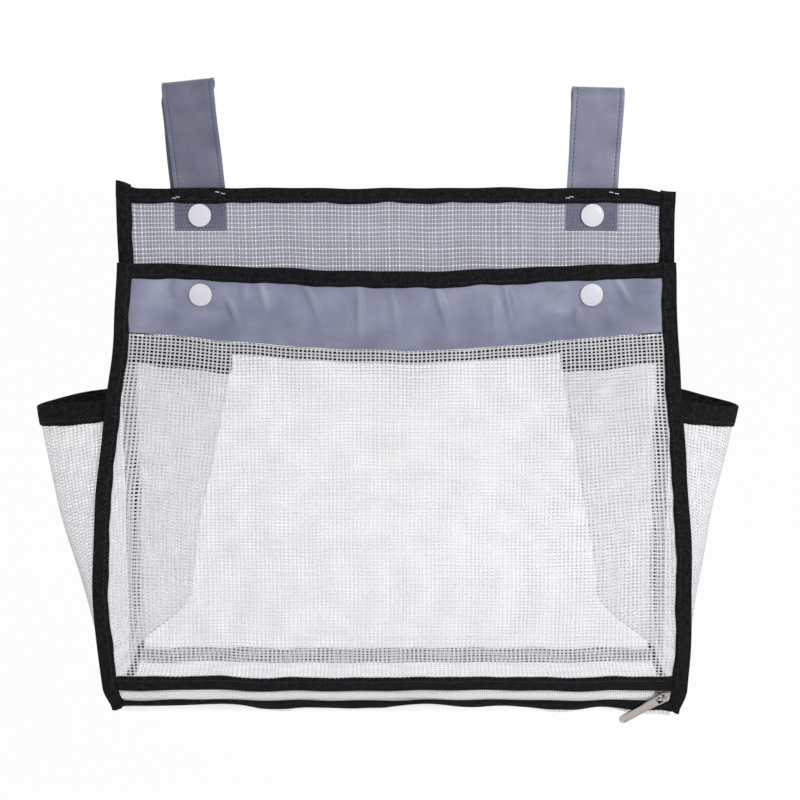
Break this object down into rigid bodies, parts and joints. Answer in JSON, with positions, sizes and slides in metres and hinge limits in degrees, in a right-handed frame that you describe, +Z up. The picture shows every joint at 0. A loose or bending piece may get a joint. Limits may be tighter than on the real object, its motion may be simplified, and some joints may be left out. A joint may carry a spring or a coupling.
{
  "type": "bath toy organizer",
  "caption": "Hanging net bag with a snap mouth flap, pleated sides, bottle pockets, a zipped floor and strap loops that snap open to go over a rail.",
  "frame": {"origin": "the middle of the rail line that the two strap loops hang on, at the inner top of the loops", "axes": "+X across the bag to the right as seen from its front, +Y from the front to the back, +Z up"},
  "size_m": [0.4372, 0.1242, 0.3826],
  "materials": {
    "white_net": "woven plastic-coated net",
    "grey_net": "woven plastic-coated net",
    "grey_cloth": "satin nylon",
    "black_tape": "matt ribbed tape",
    "white_plastic": "moulded",
    "white_nylon": "woven zipper tape and coil",
    "nickel": "plated die casting"
  },
  "bodies": {
    "bag": {"zipper_tape_upper": "white_nylon", "zipper_coil_upper": "white_nylon", "zipper_tape_lower": "white_nylon", "zipper_coil_lower": "white_nylon", "back_band": "grey_net", "back_net": "white_net", "back_seam_tape": "black_tape", "back_binding_top": "black_tape", "back_binding_bottom": "black_tape", "back_binding_left": "black_tape", "back_binding_right": "black_tape", "mouth_hem": "grey_cloth", "front_net": "white_net", "front_seam_tape": "black_tape", "front_binding_bottom": "black_tape", "front_binding_left": "black_tape", "front_binding_right": "black_tape", "gusset_left": "white_net", "gusset_binding_left": "black_tape", "floor_binding_left": "black_tape", "gusset_right": "white_net", "gusset_binding_right": "black_tape", "floor_binding_right": "black_tape", "floor_net": "white_net", "floor_binding_front": "black_tape", "pocket_left": "white_net", "pocket_binding_left": "black_tape", "pocket_right": "white_net", "pocket_binding_right": "black_tape", "strap_left_fixed": "grey_cloth", "strap_right_fixed": "grey_cloth", "strap_snap_left_cap_front": "white_plastic", "strap_snap_left_stud": "white_plastic", "mouth_snap_left_cap_back": "white_plastic", "mouth_snap_left_stud": "white_plastic", "strap_snap_right_cap_front": "white_plastic", "strap_snap_right_stud": "white_plastic", "mouth_snap_right_cap_back": "white_plastic", "mouth_snap_right_stud": "white_plastic"},
    "mouth_flap": {"mouth_band": "grey_cloth", "mouth_binding_top": "black_tape", "mouth_binding_left": "black_tape", "mouth_binding_right": "black_tape", "mouth_snap_left_cap_front": "white_plastic", "mouth_snap_left_socket": "white_plastic", "mouth_snap_right_cap_front": "white_plastic", "mouth_snap_right_socket": "white_plastic"},
    "left_strap_leg": {"strap_left_free": "grey_cloth", "strap_snap_left_socket": "white_plastic", "strap_snap_left_cap_back": "white_plastic"},
    "right_strap_leg": {"strap_right_free": "grey_cloth", "strap_snap_right_socket": "white_plastic", "strap_snap_right_cap_back": "white_plastic"},
    "slider": {"zipper_slider": "nickel"},
    "pull": {"zipper_pull": "nickel"}
  },
  "joints": [
    {"name": "mouth_flap", "type": "hinge", "parent": "bag", "child": "mouth_flap", "pos_m": [0, -0.03, -0.152], "axis": [1, 0, 0], "range_deg": [0, 110]},
    {"name": "left_strap_open", "type": "hinge", "parent": "bag", "child": "left_strap_leg", "pos_m": [-0.129, 0, 0.0014], "axis": [1, 0, 0], "range_deg": [0, 175]},
    {"name": "right_strap_open", "type": "hinge", "parent": "bag", "child": "right_strap_leg", "pos_m": [0.1255, 0, 0.0014], "axis": [1, 0, 0], "range_deg": [0, 175]},
    {"name": "zipper_slide", "type": "slide", "parent": "bag", "child": "slider", "axis": [-1, 0, 0], "range_m": [0, 0.313]},
    {"name": "zipper_pull", "type": "hinge", "parent": "slider", "child": "pull", "pos_m": [0.16, -0.09828, -0.3637], "axis": [-0.5736, -0.2377, 0.7839], "range_deg": [0, 150]}
  ]
}
